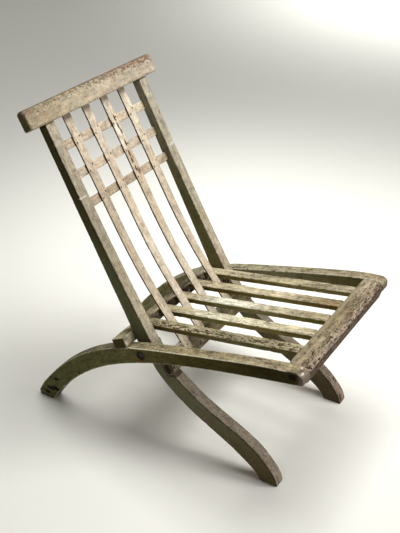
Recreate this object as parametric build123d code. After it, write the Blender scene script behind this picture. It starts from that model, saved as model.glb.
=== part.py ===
from build123d import *
import os
from math import cos, hypot, radians, sin

# Folding slatted garden chair: a seat frame and a back frame, both of wood, that cross like an X
# and turn on two bolts. Millimetres. X runs across the chair, -Y is the front, +Z is up.
# The origin is on the floor, midway across the chair and midway between its front and its back.
# The chair stands open, with the stiles of the back resting on the rear rail of the seat.

os.makedirs("parts", exist_ok=True)

# ---- driving dimensions: across the chair ----
FRAME_WIDTH = 500.0        # over the two side rails of the seat
RAIL_THICK = 35.5          # side rail, across the chair
SIDE_GAP = 5.0             # between a side rail and the stile inside it
STILE_THICK = 34.5         # stile, across the chair
CREST_LENGTH = 520.0       # crest rail, end to end
SLAT_PITCH = 75.4          # seat slats, centre to centre; the back slats run in their gaps
SEAT_SLAT_COUNT, BACK_SLAT_COUNT = 5, 4
SEAT_SLAT_WIDTH, BACK_SLAT_WIDTH = 34.0, 29.0

# ---- driving dimensions: side view, as (Y, Z) ----
PIVOT = (41.0, 291.5)      # centre of the two bolts
LEAN = radians(28.8)       # front of a stile, from upright
STILE_LOW = (42.0, 320.0)  # where the stile's front edge ends and its leg begins
STILE_RUN = 599.0          # from that point up to the crest rail
STILE_BOW = 4.5            # hollow of the stile's front edge
STILE_DEPTH_LOW, STILE_DEPTH_TOP = 45.5, 25.5
STILE_BACK_DROP = 8.0      # the stile's straight back ends this much below STILE_LOW
SEAT_FRONT = (-360.0, 413.5)   # top edge of the front rail that faces the slats
NOSE_Y, NOSE_TOP_Z = -417.5, 418.5
TOE_Y = 417.5
RAIL_TIP = (-411.0, 371.0)     # bottom front edge of the front rail
LOWER_RAIL_FOOT = (-31.0, 230.5)
LOWER_RAIL_TIP = (-5.0, 275.5)
SLAT_BEND_RUN = 160.0      # from STILE_LOW up to the bend in the back slats

# ---- sections ----
CREST_HEIGHT, CREST_THICK, CREST_PROUD = 53.0, 30.0, 4.5
REAR_RAIL_DEPTH, REAR_RAIL_HEIGHT, REAR_RAIL_EASE = 43.0, 30.0, 7.0
REAR_RAIL_BEARING = 38.0   # its top, above the end of the stile's straight back
FRONT_RAIL_DROP = 44.0     # height of the front rail's back face
LOWER_RAIL_THICK = 18.0
SEAT_SLAT_THICK, BACK_SLAT_THICK = 15.0, 5.5
SLAT_SET_LOW, SLAT_SET_TOP = 13.7, 16.3    # back slats, behind the front of the stiles
SLAT_BEND_RADIUS = 1400.0
LATH_COUNT, LATH_HEIGHT, LATH_THICK, LATH_PITCH = 3, 25.0, 5.0, 77.5
LATH_TOP_RUN = 383.0       # from the slats' bend up to the top edge of the highest lath
CREST_ROUND, CREST_ARRIS = 9.0, 2.5    # upper edges and ends, and the lower arrises
RAIL_NOSE, FRONT_NOSE = 14.5, 20.0     # radii of the side rails' and the front rail's noses
ARRIS = 1.5                # worn arris on the large pieces
ARCH_ROUND = 4.0           # inner top arris of the side rails, behind the rear rail
SLAT_ARRIS = 1.2
LONG_EDGE = 60.0           # shorter edges are left sharp

# ---- joints in the wood ----
TENON_THICK, TENON_LENGTH = 14.0, 25.0
FRONT_TENON_AT, FRONT_TENON_DEPTH = (-386.0, 400.5), 30.0
STILE_TENON_SET, STILE_TENON_WIDTH = 6.0, 24.0
SLAT_TENON_THICK, SLAT_TENON_WIDTH, SLAT_TENON_LENGTH = 7.0, 24.0, 12.0
BACK_SLAT_TENON = 20.0     # end of a back slat, inside the crest rail
BACK_SLAT_LAP = 30.0       # lower end of a back slat, on the lower rail
BACK_SLAT_SINK = 1.0       # its face, below the lower rail's front
LATH_TENON = 8.0           # end of a lath, inside a stile
STOP_GAP = 0.2             # stile to rear rail, where the open chair rests
DOWEL_DIA, DOWEL_LENGTH, DOWEL_COVER = 10.0, 44.0, 8.0

# ---- ironwork ----
BOLT_DIA, BOLT_HEAD_DIA, BOLT_HEAD_THICK = 8.0, 19.0, 4.5
HEAD_POCKET_DIA, HEAD_POCKET_DEPTH = 22.0, 6.0
RUNNING = 0.12             # bore over bolt, on the diameter
WASHER_DIA, WASHER_THICK = 20.0, 1.6
SPACER_DIA, SPACER_THICK = 24.0, 4.6
SIDE_PLAY = 0.4            # washer to stile
NUT_ACROSS, NUT_THICK, BOLT_TAIL = 13.0, 6.5, 2.0
HEAD_ROUND, TAIL_CHAMFER = 3.5, 0.8
NAIL_DIA, NAIL_HEAD_DIA, NAIL_HEAD_THICK, NAIL_PROUD = 2.0, 4.6, 0.8, 0.3
LATH_NAIL_LENGTH, LAP_NAIL_LENGTH = 11.5, 20.0
NAIL_SPREAD = (8.5, 7.0)   # a pair of nails from the middle of its crossing, across and up
SCREW_DIA, SCREW_HEAD_DIA, SCREW_HEAD_DEPTH, SCREW_LENGTH = 4.5, 8.6, 3.0, 34.0
SCREW_SLOT_WIDTH, SCREW_SLOT_DEPTH = 1.2, 1.0
SCREW_INSET = 14.0         # screws, from the long edges of the lower rail

# ---- worked out from the above ----
RAIL_OUT = FRAME_WIDTH / 2
RAIL_IN = RAIL_OUT - RAIL_THICK
STILE_OUT = RAIL_IN - SIDE_GAP
STILE_IN = STILE_OUT - STILE_THICK
STILE_MID = (STILE_OUT + STILE_IN) / 2
UP = (sin(LEAN), cos(LEAN))        # up along a stile, as (Y, Z)
BACK = (cos(LEAN), -sin(LEAN))     # square to a stile, towards the rear


def along(start, *moves):
    """A (Y, Z) point, moved from start by (direction, amount) pairs."""
    y, z = start
    for (dy, dz), amount in moves:
        y += dy * amount
        z += dz * amount
    return (y, z)


def distance(a, b):
    """The distance between two (Y, Z) points."""
    return hypot(b[0] - a[0], b[1] - a[1])


def towards(a, b):
    """The direction from point a to point b."""
    length = distance(a, b)
    return ((b[0] - a[0]) / length, (b[1] - a[1]) / length)


def product(a, b):
    """The cosine of the angle between two directions."""
    return a[0] * b[0] + a[1] * b[1]


def behind(direction):
    """The direction square to an upward direction, towards the rear."""
    return (direction[1], -direction[0])


def slab(outline, x_low, x_high):
    """A closed side-view outline, made solid from x_low to x_high."""
    solid = extrude(Plane.YZ * make_face(outline), amount=x_high - x_low)
    return solid.moved(Location((x_low, 0, 0)))


def bar(corner, direction, length, depth, x_low, x_high):
    """A straight bar: length along direction from its front corner, depth towards the rear."""
    far = along(corner, (direction, length))
    back = behind(direction)
    outline = Polyline(corner, far, along(far, (back, depth)), along(corner, (back, depth)), close=True)
    return slab(outline, x_low, x_high)


def rod(diameter, x_low, x_high, centre=PIVOT):
    """A round bar that lies across the chair."""
    disc = extrude(Plane.YZ * Circle(diameter / 2), amount=x_high - x_low)
    return disc.moved(Location((x_low, centre[0], centre[1])))


def pin(diameter, point, x, direction, length):
    """A round bar in the side view's plane: from (Y, Z) point at x, along direction."""
    axis = Plane(origin=(x, point[0], point[1]), z_dir=(0, direction[0], direction[1]))
    return extrude(axis * Circle(diameter / 2), amount=length)


def ease(solid, radius=ARRIS):
    """Round the long arrises of a side-view slab or of a bar; its ends keep theirs."""
    return fillet(solid.edges().filter_by(lambda edge: edge.length > LONG_EDGE), radius)


def both_sides(solid):
    """The right-hand solid (at -X) and its mirror image on the left."""
    return mirror(solid, about=Plane.YZ), solid


def centres(count):
    """The X places of a row of slats, from right to left."""
    return [(place - (count - 1) / 2) * SLAT_PITCH for place in range(count)]


def save(name, *solids):
    """Write a sub-part; loose pieces of one kind share a file."""
    shape = solids[0] if len(solids) == 1 else Compound(children=list(solids))
    export_step(shape, f"parts/{name}.step")


# ---- the line of the stiles ----
def stile_front(run):
    """A point on the hollow front edge of a stile, run above STILE_LOW."""
    share = run / STILE_RUN
    return along(STILE_LOW, (UP, run), (BACK, STILE_BOW * 4 * share * (1 - share)))


STILE_TOP = stile_front(STILE_RUN)
STILE_TOP_BACK = along(STILE_TOP, (BACK, STILE_DEPTH_TOP))
STILE_BACK_UP = towards(along(STILE_LOW, (BACK, STILE_DEPTH_LOW)), STILE_TOP_BACK)
STILE_LOW_BACK = along(STILE_LOW, (BACK, STILE_DEPTH_LOW), (STILE_BACK_UP, -STILE_BACK_DROP))
REAR_RAIL_TOP = along(
    STILE_LOW_BACK, (behind(STILE_BACK_UP), STOP_GAP), (STILE_BACK_UP, REAR_RAIL_BEARING)
)
LOWER_UP = towards(LOWER_RAIL_FOOT, LOWER_RAIL_TIP)
LOWER_BACK = behind(LOWER_UP)
LOWER_RAIL_WIDTH = distance(LOWER_RAIL_FOOT, LOWER_RAIL_TIP)
SEAT_DOWN = towards(SEAT_FRONT, REAR_RAIL_TOP)      # down the seat slats, front to rear
SEAT_UNDER = (SEAT_DOWN[1], -SEAT_DOWN[0])          # square to the slats, downwards


# ---- side-view outlines ----
def side_rail_outline():
    """Under the seat it is almost straight; behind the bolt it arches down to the rear foot."""
    nose = CenterArc((NOSE_Y + RAIL_NOSE, NOSE_TOP_Z - RAIL_NOSE), RAIL_NOSE, 180, -90)
    chin, throat = (NOSE_Y, 390.0), (-385.0, 382.0)
    toe, sole_front, sole_back = (TOE_Y, 12.0), (365.0, 0.0), (411.0, 0.0)
    top = Spline(
        nose @ 1, (-357.0, 414.0), (-252.0, 391.0), (-105.0, 352.3), (0.0, 324.0), (120.0, 283.5),
        (204.5, 238.8), (272.0, 188.7), (332.5, 129.8), (386.0, 63.7), toe,
        tangents=[nose % 1, (0.45, -0.9)],
    )
    under = Spline(
        sole_front, (344.5, 30.0), (291.0, 96.7), (230.0, 155.3), (161.4, 205.2), (86.0, 245.3),
        (8.3, 278.1), (-81.0, 307.6), (-253.0, 352.3), throat,
        tangents=[(-0.55, 0.83), (-1.0, 0.22)],
    )
    return [
        nose, top, Line(toe, sole_back), Line(sole_back, sole_front), under, Line(throat, chin),
        Line(chin, nose @ 0),
    ]


def front_rail_outline():
    """The front rail ends the seat with a worn round nose, and hangs below the side rails."""
    nose = CenterArc((NOSE_Y + FRONT_NOSE, NOSE_TOP_Z - FRONT_NOSE), FRONT_NOSE, 90, 90)
    heel = along(SEAT_FRONT, (SEAT_UNDER, FRONT_RAIL_DROP))
    return [
        Line(SEAT_FRONT, nose @ 0), nose, Line(nose @ 1, RAIL_TIP), Line(RAIL_TIP, heel),
        Line(heel, SEAT_FRONT),
    ]


def stile_outline():
    """Stile and front leg in one piece: straight above the bolt, then a slack S to the foot."""
    toe, heel = (-349.0, 0.0), (-297.0, 0.0)
    front = ThreePointArc(STILE_TOP, stile_front(STILE_RUN / 2), STILE_LOW)
    leg_front = Spline(
        STILE_LOW, (19.5, 290.0), (-9.0, 252.0), (-53.0, 215.5), (-114.5, 176.0), (-175.6, 145.0),
        (-236.0, 117.0), (-281.6, 90.0), (-326.6, 46.0), toe, tangents=[front % 1, (-0.15, -1.0)],
    )
    leg_back = Spline(
        heel, (-253.6, 42.5), (-207.0, 72.0), (-145.5, 104.0), (-83.3, 137.0), (-20.8, 182.0),
        (34.5, 240.5), (57.5, 270.5), STILE_LOW_BACK, tangents=[(0.45, 0.9), STILE_BACK_UP],
    )
    return [
        front, leg_front, Line(toe, heel), leg_back, Line(STILE_LOW_BACK, STILE_TOP_BACK),
        Line(STILE_TOP_BACK, STILE_TOP),
    ]


# ---- the line of the back slats ----
SLAT_TOP = along(STILE_TOP, (BACK, SLAT_SET_TOP))
SLAT_BEND = along(stile_front(SLAT_BEND_RUN), (BACK, SLAT_SET_LOW))
SLAT_RISE = towards(SLAT_BEND, SLAT_TOP)
SLAT_LANDING = along(LOWER_RAIL_TIP, (LOWER_BACK, BACK_SLAT_SINK))
TAIL_RISE = towards(SLAT_LANDING, SLAT_BEND)


def back_slat_outline():
    """Thin and straight behind the stiles, then bent forward to lap on the lower rail."""
    tip = along(SLAT_LANDING, (TAIL_RISE, -BACK_SLAT_LAP))
    top = along(SLAT_TOP, (SLAT_RISE, BACK_SLAT_TENON))
    tail_back, rise_back = behind(TAIL_RISE), behind(SLAT_RISE)
    mitre = BACK_SLAT_THICK / (1 + product(tail_back, rise_back))
    front = FilletPolyline(top, SLAT_BEND, tip, radius=SLAT_BEND_RADIUS)
    back = FilletPolyline(
        along(tip, (tail_back, BACK_SLAT_THICK)),
        along(SLAT_BEND, (tail_back, mitre), (rise_back, mitre)),
        along(top, (rise_back, BACK_SLAT_THICK)),
        radius=SLAT_BEND_RADIUS + BACK_SLAT_THICK,
    )
    return [front, Line(front @ 1, back @ 0), back, Line(back @ 1, front @ 0)]


# ---- pieces ----
def make_crest():
    """The crest rail, with its upper edges and its ends worn round."""
    corner = along(STILE_TOP, (BACK, -CREST_PROUD))
    end = CREST_LENGTH / 2
    crest = bar(corner, UP, CREST_HEIGHT, CREST_THICK, -end, end)

    def height(edge):
        middle = edge.center()
        return product((middle.Y - corner[0], middle.Z - corner[1]), UP)

    crest = fillet(crest.edges().filter_by(lambda edge: height(edge) > CREST_HEIGHT / 4), CREST_ROUND)
    return fillet(crest.edges().filter_by(lambda edge: abs(height(edge)) < CREST_ARRIS), CREST_ARRIS)


def make_stile_tenon():
    """The tenon at the top of a stile, at +X."""
    corner = along(STILE_TOP, (BACK, STILE_TENON_SET))
    half = STILE_TENON_WIDTH / 2
    return bar(corner, UP, TENON_LENGTH, TENON_THICK, STILE_MID - half, STILE_MID + half)


def make_front_tenon():
    """The tenon at the end of the front rail, at +X."""
    corner = along(FRONT_TENON_AT, ((1, 0), -FRONT_TENON_DEPTH / 2), ((0, 1), -TENON_THICK / 2))
    return bar(corner, (0, 1), TENON_THICK, FRONT_TENON_DEPTH, RAIL_IN, RAIL_IN + TENON_LENGTH)


def make_seat_slat(x):
    """A seat slat and, apart, the core that makes the tenons at its two ends."""
    slant = SEAT_SLAT_THICK / product(STILE_BACK_UP, SEAT_UNDER)
    body = Polyline(
        SEAT_FRONT, REAR_RAIL_TOP, along(REAR_RAIL_TOP, (STILE_BACK_UP, slant)),
        along(SEAT_FRONT, (SEAT_UNDER, SEAT_SLAT_THICK)), close=True,
    )
    slat = ease(slab(body, x - SEAT_SLAT_WIDTH / 2, x + SEAT_SLAT_WIDTH / 2), SLAT_ARRIS)
    sink = (SEAT_SLAT_THICK - SLAT_TENON_THICK) / 2
    start = along(SEAT_FRONT, (SEAT_DOWN, -SLAT_TENON_LENGTH), (SEAT_UNDER, sink))
    end = along(REAR_RAIL_TOP, (SEAT_DOWN, SLAT_TENON_LENGTH), (SEAT_UNDER, sink))
    core = Polyline(
        start, end, along(end, (SEAT_UNDER, SLAT_TENON_THICK)),
        along(start, (SEAT_UNDER, SLAT_TENON_THICK)), close=True,
    )
    return slat, slab(core, x - SLAT_TENON_WIDTH / 2, x + SLAT_TENON_WIDTH / 2)


def make_lath(place):
    """A lath of the lattice, across the backs of the slats and let into both stiles."""
    low = LATH_TOP_RUN - place * LATH_PITCH - LATH_HEIGHT
    corner = along(SLAT_BEND, (SLAT_RISE, low), (behind(SLAT_RISE), BACK_SLAT_THICK))
    end = STILE_IN + LATH_TENON
    return bar(corner, SLAT_RISE, LATH_HEIGHT, LATH_THICK, -end, end)


def inner_crown(rail):
    """The inner top arris of a side rail's arch, behind the rear rail."""
    edges = rail.edges().filter_by(lambda edge: edge.length > LONG_EDGE)
    inner = edges.filter_by(lambda edge: abs(edge.center().X - RAIL_IN) < ARRIS)
    return inner.filter_by(lambda edge: edge.center().Y > REAR_RAIL_TOP[0]).sort_by(Axis.Z)[-1]


def ease_side_rail(rail):
    """Round the long arrises of the +X side rail, and that one more than the others."""
    crown = inner_crown(rail).center()
    edges = rail.edges().filter_by(lambda edge: edge.length > LONG_EDGE)
    others = edges.filter_by(lambda edge: (edge.center() - crown).length > ARRIS)
    rail = fillet(others, ARRIS)
    return fillet(inner_crown(rail), ARCH_ROUND)


def make_rear_rail():
    """The stop of the back. Its lower front edge is rounded, so that the legs clear it as they fold."""
    foot = along(REAR_RAIL_TOP, (STILE_BACK_UP, -REAR_RAIL_HEIGHT))
    rail = bar(foot, STILE_BACK_UP, REAR_RAIL_HEIGHT, REAR_RAIL_DEPTH, -RAIL_OUT, RAIL_OUT)
    front_foot = rail.edges().filter_by(Axis.X).sort_by_distance((0, foot[0], foot[1]))[0]
    rail = fillet(front_foot, REAR_RAIL_EASE)
    return fillet(rail.edges().filter_by(Axis.X).sort_by(Axis.Z)[-2:], ARRIS)


def make_nail(point, x, inwards, length):
    """A flat-headed nail, its head a little proud of the surface at point."""
    start = along(point, (inwards, -NAIL_PROUD))
    head = pin(NAIL_HEAD_DIA, start, x, inwards, NAIL_HEAD_THICK)
    return head + pin(NAIL_DIA, start, x, inwards, length)


def make_lath_nails():
    """Two nails, set askew, through every crossing of a slat and a lath."""
    nails = []
    across, up = NAIL_SPREAD
    for place in range(LATH_COUNT):
        middle = LATH_TOP_RUN - place * LATH_PITCH - LATH_HEIGHT / 2
        for x in centres(BACK_SLAT_COUNT):
            for side in (-1, 1):
                point = along(SLAT_BEND, (SLAT_RISE, middle + side * up))
                nails.append(make_nail(point, x + side * across, behind(SLAT_RISE), LATH_NAIL_LENGTH))
    return nails


def make_lap_nails():
    """One nail through the foot of each back slat into the lower rail."""
    point = along(SLAT_LANDING, (TAIL_RISE, -BACK_SLAT_LAP / 2))
    return [make_nail(point, x, behind(TAIL_RISE), LAP_NAIL_LENGTH) for x in centres(BACK_SLAT_COUNT)]


def make_screw(x, up):
    """A slotted countersunk screw through the lower rail into a leg."""
    point = along(LOWER_RAIL_FOOT, (LOWER_UP, up))
    inwards = (0, LOWER_BACK[0], LOWER_BACK[1])
    axis = Plane(origin=(x, point[0], point[1]), x_dir=(1, 0, 0), z_dir=inwards)
    level = (Align.CENTER, Align.CENTER, Align.MIN)
    head = axis * Cone(SCREW_HEAD_DIA / 2, SCREW_DIA / 2, SCREW_HEAD_DEPTH, align=level)
    shank = axis * Cylinder(SCREW_DIA / 2, SCREW_LENGTH, align=level)
    slot = axis * Box(SCREW_HEAD_DIA, SCREW_SLOT_WIDTH, SCREW_SLOT_DEPTH, align=level)
    whole = head + shank
    return whole, whole - slot


def make_bolt():
    """The pivot bolt at +X: its cup head in a pocket of the side rail, its tail past the nut."""
    seat = RAIL_OUT - HEAD_POCKET_DEPTH
    tail = STILE_IN - SIDE_PLAY - WASHER_THICK - NUT_THICK - BOLT_TAIL
    head = rod(BOLT_HEAD_DIA, seat, seat + BOLT_HEAD_THICK)
    head = fillet(head.edges().sort_by(Axis.X)[-1], HEAD_ROUND)
    shank = rod(BOLT_DIA, tail, seat)
    shank = chamfer(shank.edges().sort_by(Axis.X)[0], TAIL_CHAMFER)
    return head + shank


def make_ring(diameter, x_low, thickness):
    """A washer on the bolt."""
    return rod(diameter, x_low, x_low + thickness) - rod(BOLT_DIA, x_low, x_low + thickness)


def make_nut():
    """The hexagon nut on the bolt, inside the stile."""
    x_low = STILE_IN - SIDE_PLAY - WASHER_THICK - NUT_THICK
    hexagon = Plane.YZ * RegularPolygon(NUT_ACROSS / 2, 6, major_radius=False)
    nut = extrude(hexagon, amount=NUT_THICK).moved(Location((x_low, PIVOT[0], PIVOT[1])))
    return nut - rod(BOLT_DIA, x_low, x_low + NUT_THICK)


# ---- seat frame ----
front_tenon = make_front_tenon()
rear_rail = make_rear_rail()
dowel_top = along(
    REAR_RAIL_TOP, (behind(STILE_BACK_UP), REAR_RAIL_DEPTH / 2), (STILE_BACK_UP, -DOWEL_COVER)
)
dowel_down = (-STILE_BACK_UP[0], -STILE_BACK_UP[1])
dowel = pin(DOWEL_DIA, dowel_top, RAIL_OUT - RAIL_THICK / 2, dowel_down, DOWEL_LENGTH)
dowels = both_sides(dowel)
seat_slats = [make_seat_slat(x) for x in centres(SEAT_SLAT_COUNT)]
cores = [core for slat, core in seat_slats]

side_rail = ease_side_rail(slab(side_rail_outline(), RAIL_IN, RAIL_OUT) - rear_rail)
side_rail -= front_tenon
side_rail -= dowel
side_rail -= rod(BOLT_DIA, RAIL_IN, RAIL_OUT)
side_rail -= rod(HEAD_POCKET_DIA, RAIL_OUT - HEAD_POCKET_DEPTH, RAIL_OUT)
side_rail_right, side_rail_left = both_sides(side_rail)

front_rail = ease(slab(front_rail_outline(), -RAIL_IN, RAIL_IN))
front_rail = front_rail + list(both_sides(front_tenon)) - cores
rear_rail = rear_rail - cores - list(dowels)

save("side_rail_right", side_rail_right)
save("side_rail_left", side_rail_left)
save("front_rail", front_rail)
save("rear_rail", rear_rail)
save("rear_rail_dowels", *dowels)
for number, (slat, core) in enumerate(seat_slats, start=1):
    save(f"seat_slat_{number}", slat + core)

save("pivot_bolts", *both_sides(make_bolt()))
save("spacer_washers", *both_sides(make_ring(SPACER_DIA, RAIL_IN - SPACER_THICK, SPACER_THICK)))
save("nut_washers", *both_sides(make_ring(WASHER_DIA, STILE_IN - SIDE_PLAY - WASHER_THICK, WASHER_THICK)))
save("pivot_nuts", *both_sides(make_nut()))

# ---- back frame ----
lath_nails = make_lath_nails()
lap_nails = make_lap_nails()
screw_rows = (SCREW_INSET, LOWER_RAIL_WIDTH - SCREW_INSET)
screws = [make_screw(x, up) for x in (-STILE_MID, STILE_MID) for up in screw_rows]
screw_holes = [whole for whole, slotted in screws]
laths = [make_lath(place) for place in range(LATH_COUNT)]
slat_blanks = [
    ease(slab(back_slat_outline(), x - BACK_SLAT_WIDTH / 2, x + BACK_SLAT_WIDTH / 2), SLAT_ARRIS)
    for x in centres(BACK_SLAT_COUNT)
]
lower_rail = ease(
    bar(LOWER_RAIL_FOOT, LOWER_UP, LOWER_RAIL_WIDTH, LOWER_RAIL_THICK, -STILE_OUT, STILE_OUT)
)

stile = ease(slab(stile_outline(), STILE_IN, STILE_OUT))
stile = stile + make_stile_tenon()
stile -= rod(BOLT_DIA + RUNNING, STILE_IN, STILE_OUT)
stile = stile - lower_rail - laths - screw_holes[2:]
stile_right, stile_left = both_sides(stile)
crest_rail = make_crest() - list(both_sides(make_stile_tenon())) - slat_blanks
lower_rail = lower_rail - slat_blanks - lap_nails - screw_holes

save("back_stile_right", stile_right)
save("back_stile_left", stile_left)
save("crest_rail", crest_rail)
for number, blank in enumerate(slat_blanks, start=1):
    save(f"back_slat_{number}", blank - lath_nails - lap_nails)
for name, lath in zip(("top", "middle", "bottom"), laths):
    save(f"lattice_lath_{name}", lath - lath_nails)
save("lattice_nails", *lath_nails)
save("lower_rail", lower_rail)
save("lower_rail_nails", *lap_nails)
save("lower_rail_screws", *[slotted for whole, slotted in screws])
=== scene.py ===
# %% [markdown]
# # An old folding garden chair
# The chair is two slatted wooden frames that cross like an X and turn on two bolts. Its exact
# shape comes from CAD, as one mesh for each sub-part. This file gives those shapes the look of
# old painted wood: worn arrises, flaked paint, grain, grime and rust, and then sets a floor,
# lights and a camera around them. Everything is in metres, with Z up and the floor at Z = 0.
# The front of the chair faces -Y, and the sitter's right hand is at -X.

import math

import bmesh
import bpy
import numpy as np
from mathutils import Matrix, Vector, noise


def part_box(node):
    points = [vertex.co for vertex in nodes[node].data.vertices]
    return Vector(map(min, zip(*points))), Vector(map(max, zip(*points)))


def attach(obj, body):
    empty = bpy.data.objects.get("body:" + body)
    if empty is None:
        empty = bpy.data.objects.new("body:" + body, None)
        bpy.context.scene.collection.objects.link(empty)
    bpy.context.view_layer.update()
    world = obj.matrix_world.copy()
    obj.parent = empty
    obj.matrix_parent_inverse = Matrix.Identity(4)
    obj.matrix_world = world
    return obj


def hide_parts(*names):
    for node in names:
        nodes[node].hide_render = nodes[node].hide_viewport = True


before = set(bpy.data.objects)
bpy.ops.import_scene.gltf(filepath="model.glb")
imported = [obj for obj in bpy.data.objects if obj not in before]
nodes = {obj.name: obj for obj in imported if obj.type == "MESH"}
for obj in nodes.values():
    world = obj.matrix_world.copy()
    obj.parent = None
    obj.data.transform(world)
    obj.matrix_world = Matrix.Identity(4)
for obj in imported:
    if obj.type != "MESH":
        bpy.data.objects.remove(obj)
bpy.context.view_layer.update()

# %% [markdown]
# ## The camera
# A standing person looks down at the chair from its right-hand front corner. A slightly long
# lens keeps the near foot from looking too large. The standard view shows the colours of the
# paint as they are mixed below, where a film-like view would fade them.

# %% Place the camera
EYE = (-1.6696, -1.0462, 1.6572)
TILT = math.radians(58.364)
TURN = math.radians(-57.464)
LENS = 58.75

camera = bpy.data.objects.new("camera", bpy.data.cameras.new("camera"))
bpy.context.scene.collection.objects.link(camera)
camera.location = EYE
camera.rotation_euler = (TILT, 0.0, TURN)
camera.data.lens = LENS
camera.data.clip_end = 100.0
bpy.context.scene.camera = camera
bpy.context.scene.view_settings.view_transform = "Standard"
print("camera", round(EYE[2], 2), "m above the floor, with a lens of", LENS, "mm")

# %% [markdown]
# ## Wood that has been used
# A CAD board has dead flat faces and one even radius on every arris. Real boards are dented and
# their arrises are rubbed round, more here and less there. To get that in the mesh, each board
# is copied and rebuilt with an even net of small faces by a voxel remesh. A smoothed copy of
# the net then shows where the arrises are: that is where smoothing moves a point most. Mixing
# the two by noise wears the arrises unevenly, as hands and weather do. A subdivided copy would
# keep the long thin faces of the CAD mesh, which can't be dented evenly.

# %% A board with an even net of faces
MM = 0.001


def even_net(name, node, voxel):
    """A copy of a CAD board, rebuilt as an even net of faces one voxel across."""
    mesh = nodes[node].data.copy()
    net = bmesh.new()
    net.from_mesh(mesh)
    bmesh.ops.remove_doubles(net, verts=net.verts, dist=1e-6)
    net.to_mesh(mesh)
    net.free()
    board = bpy.data.objects.new(name, mesh)
    bpy.context.scene.collection.objects.link(board)
    remesh = board.modifiers.new("even net", "REMESH")
    remesh.mode = "VOXEL"
    remesh.voxel_size = voxel
    rebuilt = bpy.data.meshes.new_from_object(
        board.evaluated_get(bpy.context.evaluated_depsgraph_get())
    )
    board.modifiers.clear()
    board.data = rebuilt
    rebuilt.name = name
    rebuilt.materials.clear()
    return board


print("the right side rail has", len(nodes["side_rail_right"].data.polygons), "faces in CAD")

# %% [markdown]
# Grain, cracks and streaks of paint run along a board, also where it bends. So each board
# stores, at every point, how far along it that point is and how far across. The line down the
# middle of the board is found by cutting it into short lengths and taking the middle of each.

# %% The line down the middle of a board
LENGTHS = 48
X, Y, Z = 0, 1, 2


def point_values(source, name):
    """One vector for each point of a mesh, as a table."""
    values = np.empty(len(source) * 3)
    source.foreach_get(name, values)
    return values.reshape(-1, 3)


def middle_line(points, axis):
    """Points down the middle of a board whose long way is mostly along one axis."""
    low, high = points[:, axis].min(), points[:, axis].max()
    share = np.clip(((points[:, axis] - low) / (high - low) * LENGTHS).astype(int), 0, LENGTHS - 1)
    line = []
    for part in range(LENGTHS):
        inside = points[share == part]
        if len(inside):
            line.append((inside.min(axis=0) + inside.max(axis=0)) / 2)
    return np.array(line)


stile = middle_line(point_values(nodes["back_stile_right"].data.vertices, "co"), Z)
print("the right stile's middle runs from Z", stile[0, Z].round(3), "to", stile[-1, Z].round(3))

# %% [markdown]
# A point belongs to the nearest stretch of that line. How far along the stretch it lies, plus
# the stretches before it, is its distance along the board. What is left is the offset across.

# %% Distances along and across a board
def grain_places(points, axis):
    """For each point: metres along the board, across it, and in X, or in Z on a board along X."""
    line = middle_line(points, axis)
    steps = np.diff(line, axis=0)
    lengths = np.linalg.norm(steps, axis=1)
    starts = np.concatenate([[0.0], np.cumsum(lengths)])[:-1]
    best = np.full(len(points), np.inf)
    along = np.zeros(len(points))
    across = np.zeros((len(points), 3))
    for start, step, length, origin in zip(starts, steps, lengths, line):
        reach = np.clip((points - origin) @ step / length**2, 0.0, 1.0)
        offset = points - origin - reach[:, None] * step
        gap = np.linalg.norm(offset, axis=1)
        nearer = gap < best
        best[nearer] = gap[nearer]
        along[nearer] = start + reach[nearer] * length
        across[nearer] = offset[nearer]
    if axis == X:
        return np.column_stack([points[:, 0], across[:, 1], across[:, 2]])
    side = np.where(across[:, 1] + across[:, 2] < 0, -1.0, 1.0)
    return np.column_stack([along, side * np.hypot(across[:, 1], across[:, 2]), points[:, 0]])


print("grain is followed in", LENGTHS, "lengths of each board")

# %% [markdown]
# An arris is found by relaxing a copy of the net a few times: flat faces stay where they are,
# and points on an arris sink. On a sharp arris a point sinks by a known share of a voxel, so
# the distance it sank says how much of an arris it is, from 0 to 1.

# %% Relax a net
SMOOTHING = 6
SHARP_ARRIS = 0.42


def smoothed(mesh):
    """Where the points of a mesh go when its net is relaxed."""
    net = bmesh.new()
    net.from_mesh(mesh)
    for _ in range(SMOOTHING):
        bmesh.ops.smooth_vert(
            net, verts=net.verts, factor=0.5, use_axis_x=True, use_axis_y=True, use_axis_z=True
        )
    places = np.array([vert.co for vert in net.verts])
    net.free()
    return places


print("a net is relaxed", SMOOTHING, "times")

# %% [markdown]
# The wear itself moves points of the net: towards the smoothed copy at the arrises, inwards for
# shallow dents, and deeper for chips, which only happen on an arris. Nothing moves outwards, so
# a worn board never grows past its CAD shape. Each kind of wear follows a noise with so many
# waves to the metre along the grain and across it, and has its own depth in millimetres. How
# much of an arris and how much of a chip each point has is stored too, for the paint to read.

# %% Kinds of wear
RUB_WAVES, DENT_WAVES, RIPPLE_WAVES = (14, 30), (9, 22), (45, 240)
CHIP_WAVES, CHIP_RIM_WAVES = (75, 120), (190, 260)
LEAST_RUB = 0.3
DENT_DEPTH, RIPPLE_DEPTH, CHIP_DEPTH = 0.3, 0.12, 1.2
SANDED_OFF = 0.05
CHIPS_FROM_ARRIS, CHIPS_FROM_NOISE, CHIP_GROWTH = 0.15, 0.28, 4.5


def uneven(place, waves, shift=(0.0, 0.0)):
    """Noise from -1 to 1 at a place on a board."""
    along, across = waves
    a, b, c = place
    return noise.noise((a * along, b * across + shift[0], c * across + shift[1]))


print("chips go up to", CHIP_DEPTH, "mm deep, dents", DENT_DEPTH, "mm")


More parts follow.
